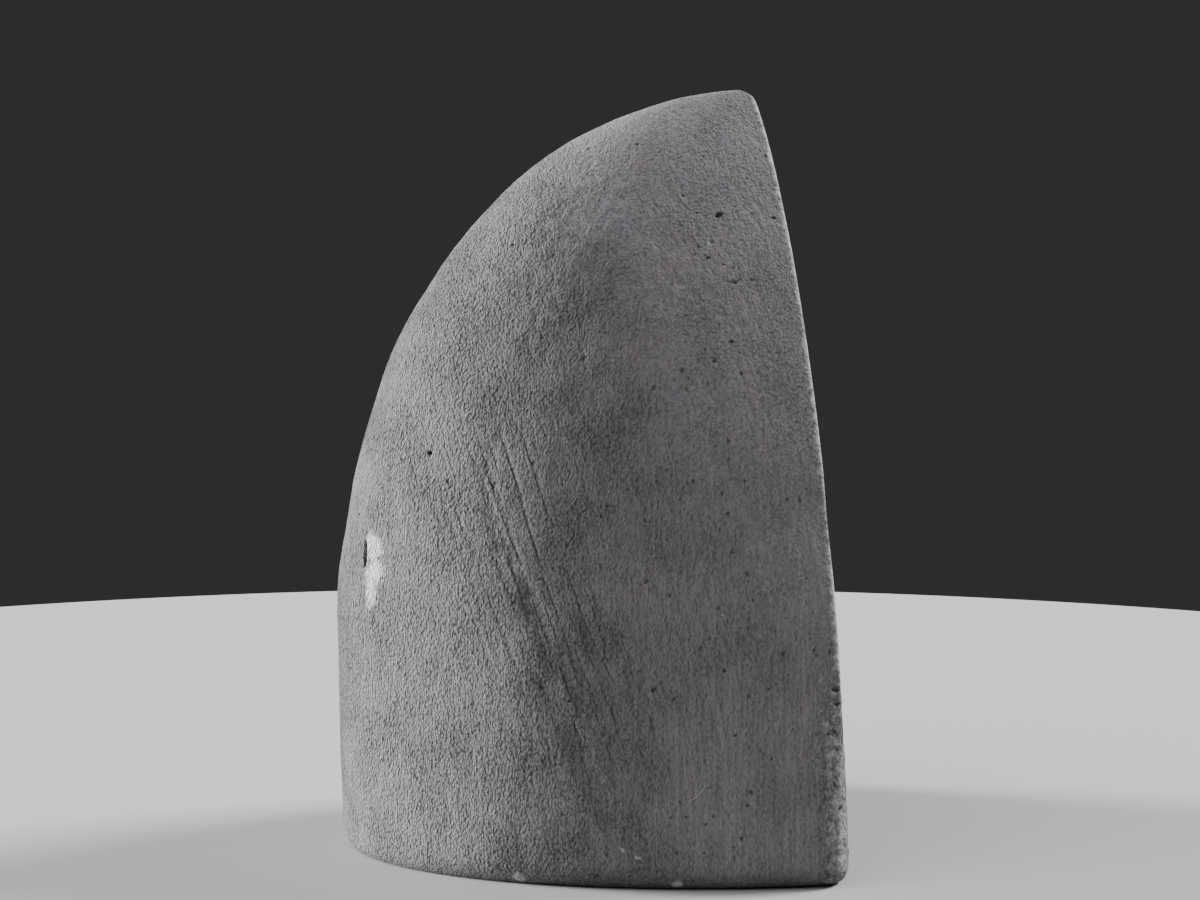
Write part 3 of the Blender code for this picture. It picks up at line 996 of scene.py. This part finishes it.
ragged = add_node(tree, "ShaderNodeTexNoise", {"Vector": place, "Scale": 1300.0, "Detail": 1.0})
shifted = add_node(tree, "ShaderNodeVectorMath", {0: ragged.outputs["Color"], 1: RAGGED_REACH},
                   operation="MULTIPLY_ADD")
tree.links.new(upright, shifted.inputs[2])
ragged_place = shifted.outputs["Vector"]
pores = maths(tree, "MAXIMUM", spots(tree, ragged_place, 240.0, 0.22, 0.11),
              spots(tree, ragged_place, 560.0, 0.20, 0.19))
# The pores are painted near black: painted shade inside the small pits, partly dark dirt.
colour = mixed(tree, maths(tree, "MULTIPLY", pores, 1.3, clamp=True), colour, PORE_SHADE_AND_DIRT_COLOUR)
flecks = spots(tree, place, 400.0, 0.03, 0.09)
colour = mixed(tree, maths(tree, "MULTIPLY", flecks, 1.5, clamp=True), colour, FLECK_COLOUR)
# Worn places and the painted light on the saw-cut edge and the rolled corners share one pale grey.
ragged_edge = maths(tree, "MULTIPLY", noise_node(tree, place, 480.0, 3.0, 0.7), 1.5)
patchy = maths(tree, "ADD", stored_value(tree, "pale_wear_and_light"), ragged_edge)
pale_patches = maths(tree, "MULTIPLY", maths(tree, "SUBTRACT", patchy, PALE_FROM), 1.7, clamp=True)
colour = mixed(tree, pale_patches, colour, WORN_AND_LIT_COLOUR)
tree.links.new(colour, shader.inputs["Base Color"])
shader.inputs["Roughness"].default_value = 0.88
shader.inputs["Specular IOR Level"].default_value = 0.35

# %% Bump of the cement
STROKE_FALL = Vector((-0.0169, -0.0119, -0.0415))
STROKE_TURN = STROKE_FALL.to_track_quat("Z", "Y").to_matrix().inverted().to_euler()
BRUSH_BUMP, SCRATCH_BUMP, PORE_BUMP = 0.13, 0.55, 0.22
BUMP_DISTANCE = 0.0030

turned = add_node(tree, "ShaderNodeMapping", {"Vector": place, "Rotation": STROKE_TURN})
along = stretched(tree, turned.outputs["Vector"], (1.0, 1.0, 0.045))
scratches = ramp(tree, noise_node(tree, along, 480.0, 1.0, 0.4), (0.52, (0.0,)), (0.66, (1.0,)))
scratches = maths(tree, "MULTIPLY", scratches, stored_value(tree, "scored"))
height = maths(tree, "ADD", maths(tree, "MULTIPLY", sand, rough),
               maths(tree, "MULTIPLY", brushed, BRUSH_BUMP))
for hollows, deep in ((scratches, SCRATCH_BUMP), (pores, PORE_BUMP)):
    height = maths(tree, "SUBTRACT", height, maths(tree, "MULTIPLY", hollows, deep))
bump = add_node(tree, "ShaderNodeBump", {"Height": height, "Distance": BUMP_DISTANCE, "Strength": 1.0})
tree.links.new(bump.outputs["Normal"], shader.inputs["Normal"])
coat.data.materials.clear()
coat.data.materials.append(cement)
print("cement:", len(tree.nodes), "nodes")

# %% [markdown]
# A single pale fibre of lint clings to the coat low on this side, as in the photograph. A
# path with a round bevel makes a thread, and its knots are dropped onto the coat.

# %% Lint fibre
LINT = ((-0.0704, -0.0181, 0.0231), (-0.0707, -0.0190, 0.0236), (-0.0709, -0.0203, 0.0243),
        (-0.0712, -0.0214, 0.0255), (-0.0713, -0.0221, 0.0268), (-0.0713, -0.0223, 0.0275))
LINT_RADIUS = 0.00006

bpy.ops.object.select_all(action="DESELECT")
bpy.ops.curve.primitive_nurbs_path_add()
lint = bpy.context.object
lint.name = "lint"
path = lint.data.splines[0]
path.points.add(len(LINT) - len(path.points))
surface = BVHTree.FromObject(coat, bpy.context.evaluated_depsgraph_get())
for knot, goal in zip(path.points, LINT):
    near, normal, _, _ = surface.find_nearest(Vector(goal))
    knot.co = (*(near + 1.5 * LINT_RADIUS * normal), 1.0)
lint.data.bevel_depth = LINT_RADIUS
lint.data.bevel_resolution = 2
bpy.ops.object.convert(target="MESH")
lint_paint, tree, shader = new_material("lint")
shader.inputs["Base Color"].default_value = (0.45, 0.44, 0.43, 1.0)
shader.inputs["Roughness"].default_value = 0.7
lint.data.materials.clear()
lint.data.materials.append(lint_paint)
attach(lint, "root")
print("lint:", len(lint.data.polygons), "faces")

# %% [markdown]
# ## The rock wall
#
# The rock is the next dome inside the coat, with the hollow taken out of it and its foot
# notched for the sill. Its sawn rim keeps small faces, so that distances measured at its
# points can carry the bands of the agate.

# %% Body of the rock
wall = dome_body("wall", ROCK, (64, 2), 128, 100)
cut_away(wall, dome_body("hollow_cutter", replace(HOLLOW, ahead=CLEAR), (96,), 128, 8))
cut_away(wall, sill_block("notch", SEAT, GAP))
print("wall:", len(wall.data.polygons), "faces")

# %% How far each point lies from the hollow and from the skin
WALL_THICK = 0.0088
HALF_WALL = 0.5 * WALL_THICK
MIDDLE_FLOOR = 0.016


def outline_points(form, count=600):
    """Points round a form's outline on the saw cut: x and z."""
    rim = []
    for side in (1.0, -1.0):
        for turn in np.linspace(0.0, math.pi, count):
            z = form.floor + (form.top - form.floor) * (0.5 - 0.5 * math.cos(turn))
            across = section(form, z)[0]
            if form.bowl:
                across *= 1.0 + HOLLOW_WANDER * noise.noise(Vector((side, 0.0, z / HOLLOW_GRAIN)))
            rim.append((side * across, z))
    if not form.bowl:
        rim += [(x, form.floor) for x in np.linspace(-rim[0][0], rim[0][0], count)]
    return np.array(rim)


def nearest(points, outline):
    """Distance from every point to the nearest point of an outline."""
    return np.array([math.sqrt(((outline - point) ** 2).sum(axis=1).min()) for point in points])


points, _ = mesh_arrays(wall)
where = behind_face(points)
sawn = np.flatnonzero(where[:, 1] < 0.0002)
middle = replace(HOLLOW.shrunk(-HALF_WALL, -HALF_WALL, -HALF_WALL, 0.0), floor=MIDDLE_FLOOR)
mid_width, mid_depth = np.array([section(middle, min(max(z, middle.floor), middle.top))
                                 for z in points[:, 2]]).T + 1e-6
inner = (where[:, 0] / mid_width) ** 2 + (where[:, 1] / mid_depth) ** 2 < 1.0
from_hollow = np.where(inner, 0.0, WALL_THICK)
from_skin = WALL_THICK - from_hollow
from_hollow[sawn] = nearest(points[sawn][:, [0, 2]], outline_points(HOLLOW))
from_skin[sawn] = nearest(points[sawn][:, [0, 2]], outline_points(ROCK))
add_values(wall, "from_hollow", from_hollow)
add_values(wall, "from_skin", from_skin)
print("points on the sawn rim:", len(sawn))

# %% Hand the wall over to the frame
only(wall)
bpy.ops.object.shade_smooth_by_angle(angle=math.radians(40.0))
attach(wall, "root")
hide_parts("agate_wall")

# %% [markdown]
# ## Agate and basalt
#
# The bands follow the hollow, as they do where silica settles layer by layer: clear
# quartz next to the crystals, then white, grey and bluish agate, then the dark basalt
# that the bubble formed in, with a thin dark skin, faintly green. A ramp on the distance
# from the hollow gives the bands, and noise makes them wander a little.

# %% Bands of the agate
BAND_REACH = 9.0
SKIN_COLOUR = (0.026, 0.032, 0.028, 1.0)

agate, tree, shader = new_material("agate")
place = add_node(tree, "ShaderNodeTexCoord").outputs["Object"]
millimetres = {}
for name in ("from_hollow", "from_skin"):
    millimetres[name] = maths(tree, "MULTIPLY", stored_value(tree, name), 1000.0)
slow_wave = maths(tree, "SUBTRACT", noise_node(tree, place, 55.0, 2.0, 0.5), 0.5)
quick_wave = maths(tree, "SUBTRACT", noise_node(tree, place, 420.0, 2.0, 0.5), 0.5)
waves = maths(tree, "ADD", maths(tree, "MULTIPLY", slow_wave, 2.6), maths(tree, "MULTIPLY", quick_wave, 0.5))
layer_depth = maths(tree, "ADD", millimetres["from_hollow"], waves)
bands = ramp(tree, maths(tree, "DIVIDE", layer_depth, BAND_REACH),
             (0.00, (0.27, 0.23, 0.33)), (0.15, (0.33, 0.30, 0.38)), (0.20, (0.50, 0.48, 0.49)),
             (0.24, (0.17, 0.18, 0.22)), (0.31, (0.23, 0.25, 0.30)), (0.34, (0.47, 0.45, 0.42)),
             (0.37, (0.12, 0.13, 0.17)), (0.46, (0.19, 0.21, 0.25)), (0.49, (0.38, 0.34, 0.30)),
             (0.53, (0.10, 0.10, 0.12)), (0.60, (0.17, 0.12, 0.08)), (0.64, (0.070, 0.036, 0.020)),
             (0.67, (0.028, 0.026, 0.025)), (1.00, (0.024, 0.023, 0.022)))
cloud = ramp(tree, noise_node(tree, place, 48.0, 3.0, 0.6), (0.30, (0.72,)), (0.70, (1.18,)))
bands = toned(tree, bands, cloud)

# %% Fine lines, speckles and skin of the rock
line_place = add_node(tree, "ShaderNodeCombineXYZ", {"X": maths(tree, "MULTIPLY", layer_depth, 3.2)})
lines = noise_node(tree, line_place.outputs["Vector"], 1.0, 3.0, 0.6)
colour = toned(tree, bands, ramp(tree, lines, (0.30, (0.72,)), (0.70, (1.22,))))
speckles = ramp(tree, noise_node(tree, place, 1400.0, 2.0, 0.6), (0.35, (0.85,)), (0.70, (1.15,)))
colour = toned(tree, colour, speckles)
skin = maths(tree, "ADD", millimetres["from_skin"], maths(tree, "MULTIPLY", quick_wave, 1.2))
skin_part = ramp(tree, skin, (0.55, (1.0,)), (0.85, (0.0,)))
colour = mixed(tree, skin_part, colour, SKIN_COLOUR)
tree.links.new(colour, shader.inputs["Base Color"])
shader.inputs["Roughness"].default_value = 0.16
shader.inputs["IOR"].default_value = 1.54
wall.data.materials.clear()
wall.data.materials.append(agate)
print("agate:", len(tree.nodes), "nodes")

# %% [markdown]
# ## The amethyst
#
# The large crystals are those of the solid, so the piece starts as a copy of its mesh.
# Real hollows have no bare ground between the large crystals: small ones fill it. A small
# crystal is modelled once, a six-sided prism with a pointed end. Its copies are planted
# wherever there is room, each at its own size, lean and turn, and all are joined to the
# large ones as one crust.

# %% Large crystals from the solid
solid_crust = bpy.data.objects["amethyst_crust"]
crust = bpy.data.objects.new("crust", solid_crust.data.copy())
crust.data.transform(solid_crust.matrix_world)
bpy.context.scene.collection.objects.link(crust)
clean_mesh(crust)
print("large crystals:", len(crust.data.polygons), "faces")

# %% One small crystal
ROOT, SHOULDER, TIP = 0.0, 1.0, 2.0
bpy.ops.object.select_all(action="DESELECT")
bpy.ops.mesh.primitive_cone_add(vertices=6, radius1=1.0, radius2=0.0, depth=TIP - SHOULDER)
bpy.ops.object.mode_set(mode="EDIT")
bpy.ops.mesh.select_all(action="SELECT")
bpy.ops.transform.translate(value=(0.0, 0.0, 0.5 * (SHOULDER + TIP)))
bpy.ops.mesh.select_mode(type="FACE")
bpy.ops.mesh.select_all(action="DESELECT")
pattern = bpy.context.object
cage = bmesh.from_edit_mesh(pattern.data)
for face in cage.faces:
    face.select_set(len(face.verts) == 6)
bpy.ops.mesh.extrude_region_move(TRANSFORM_OT_translate={"value": (0.0, 0.0, ROOT - SHOULDER)})
bpy.ops.mesh.select_mode(type="VERT")
bpy.ops.object.mode_set(mode="OBJECT")
clean_mesh(pattern)
pattern_points, _ = mesh_arrays(pattern)
pattern_faces = [tuple(face.vertices) for face in pattern.data.polygons]
bpy.data.objects.remove(pattern, do_unlink=True)
print("one crystal:", len(pattern_points), "points", len(pattern_faces), "faces")

# %% Where the small crystals stand
SMALL_RADIUS = (0.0014, 0.0037)
SMALL_TRIES = 9000
SMALL_SPACING = 0.74
BURIED = 0.0028


def bed_point(angle, z):
    """Point of the bed that the crystals stand on."""
    half_width, depth = section(DRUSE, z)
    across, inward = math.cos(angle), math.sin(angle)
    grow = 1.0 + HOLLOW_WANDER * noise.noise(Vector((across, inward, z / HOLLOW_GRAIN)))
    return Vector((across * half_width * grow, face_y(z) + inward * depth * grow, z))


def bed_normal(angle, z):
    """Direction from the bed into the hollow."""
    around = bed_point(angle + 0.01, z) - bed_point(angle - 0.01, z)
    upward = bed_point(angle, z + 0.0004) - bed_point(angle, z - 0.0004)
    return upward.cross(around).normalized()


def small_seats(chance):
    """Seats for the small crystals, away from each other and not deep under a large one."""
    large = BVHTree.FromObject(crust, bpy.context.evaluated_depsgraph_get())
    seats = []
    taken = np.full((SMALL_TRIES, 4), 1.0)
    for _ in range(SMALL_TRIES):
        z = DRUSE.floor + (DRUSE.top - DRUSE.floor) * chance.uniform(0.006, 0.992)
        angle = chance.uniform(0.02, math.pi - 0.02)
        radius = SMALL_RADIUS[0] + (SMALL_RADIUS[1] - SMALL_RADIUS[0]) * chance.random() ** 1.7
        place = bed_point(angle, z)
        away = np.linalg.norm(taken[:len(seats), :3] - np.array(place), axis=1)
        if np.any(away < SMALL_SPACING * (taken[:len(seats), 3] + radius)):
            continue
        inward = bed_normal(angle, z)
        _, normal, _, distance = large.ray_cast(place + 0.0002 * inward, inward)
        if normal is not None and normal.dot(inward) > 0.0 and distance > BURIED:
            continue
        taken[len(seats)] = (*place, radius)
        seats.append((place, inward, radius))
    return seats


seats = small_seats(random.Random(23))
print("small crystals:", len(seats))

# %% Plant them
SMALL_ROOT = 0.0018
SMALL_LEAN = 0.30
TIP_ASIDE = 0.28


def planted(place, inward, radius, chance):
    """The pattern's points, sized, leaned and turned for one seat."""
    prism = radius * chance.uniform(0.0, 0.7)
    tip = radius * chance.uniform(1.05, 1.45)
    points = pattern_points.copy()
    points[:, 2] = np.interp(points[:, 2], (ROOT, SHOULDER, TIP), (-SMALL_ROOT, prism, prism + tip))
    points[:, :2] *= radius
    top = pattern_points[:, 2] > 0.5 * (SHOULDER + TIP)
    for axis in (0, 1):
        points[top, axis] += radius * chance.uniform(-TIP_ASIDE, TIP_ASIDE)
    lean = Vector([chance.uniform(-SMALL_LEAN, SMALL_LEAN) for _ in range(3)])
    aim = (inward + lean).to_track_quat("Z", "Y").to_matrix()
    turn = aim @ Matrix.Rotation(chance.uniform(0.0, math.tau), 3, "Z")
    return points @ np.array(turn).T + np.array(place)


chance = random.Random(29)
crowd = np.concatenate([planted(*seat, chance) for seat in seats])
faces = [tuple(index + copy * len(pattern_points) for index in face)
         for copy in range(len(seats)) for face in pattern_faces]
mesh = bpy.data.meshes.new("small_crystals")
mesh.from_pydata(crowd.tolist(), [], faces)
small = bpy.data.objects.new("small_crystals", mesh)
bpy.context.scene.collection.objects.link(small)
print("small crystals:", len(mesh.polygons), "faces")

# %% Saw them flush and join them to the large ones
SAW_WIDTH, SAW_THICK, SAW_TALL = 0.2, 0.1, 0.6
SAW_GAP = 0.00003

bpy.ops.object.select_all(action="DESELECT")
bpy.ops.mesh.primitive_cube_add(size=1.0)
saw = bpy.context.object
saw.name = "saw"
for point in saw.data.vertices:
    x, y, z = point.co
    height = SAW_TALL * z
    point.co = (SAW_WIDTH * x, face_y(height) + SAW_GAP + SAW_THICK * (y - 0.5), height)
cut_away(small, saw, use_self=True)
apply_modifier(crust, "BOOLEAN", operation="UNION", object=small, solver="EXACT", use_self=True)
bpy.data.objects.remove(small, do_unlink=True)
print("crust:", len(crust.data.polygons), "faces")

# %% Hand the crust over to the frame
only(crust)
bpy.ops.object.shade_flat()
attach(crust, "root")
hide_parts("amethyst_crust")

# %% [markdown]
# ## Amethyst
#
# Clear quartz. The purple comes from what the crystal swallows of the light on its way
# through, so thick places are darker than thin edges. A small share of the shader isn't
# clear, and stands for the faint pale veils in such crystals.

# %% Amethyst material
VEIL_COLOUR = (0.84, 0.70, 0.95, 1.0)
PURPLE = (0.58, 0.20, 0.74, 1.0)
PURPLE_DENSITY = 105.0

amethyst, tree, shader = new_material("amethyst")
shader.inputs["Base Color"].default_value = VEIL_COLOUR
shader.inputs["Roughness"].default_value = 0.03
shader.inputs["IOR"].default_value = 1.544
shader.inputs["Transmission Weight"].default_value = 0.94
absorb = add_node(tree, "ShaderNodeVolumeAbsorption")
absorb.inputs["Color"].default_value = PURPLE
absorb.inputs["Density"].default_value = PURPLE_DENSITY
output = next(node for node in tree.nodes if node.type == "OUTPUT_MATERIAL")
tree.links.new(absorb.outputs["Volume"], output.inputs["Volume"])
crust.data.materials.clear()
crust.data.materials.append(amethyst)
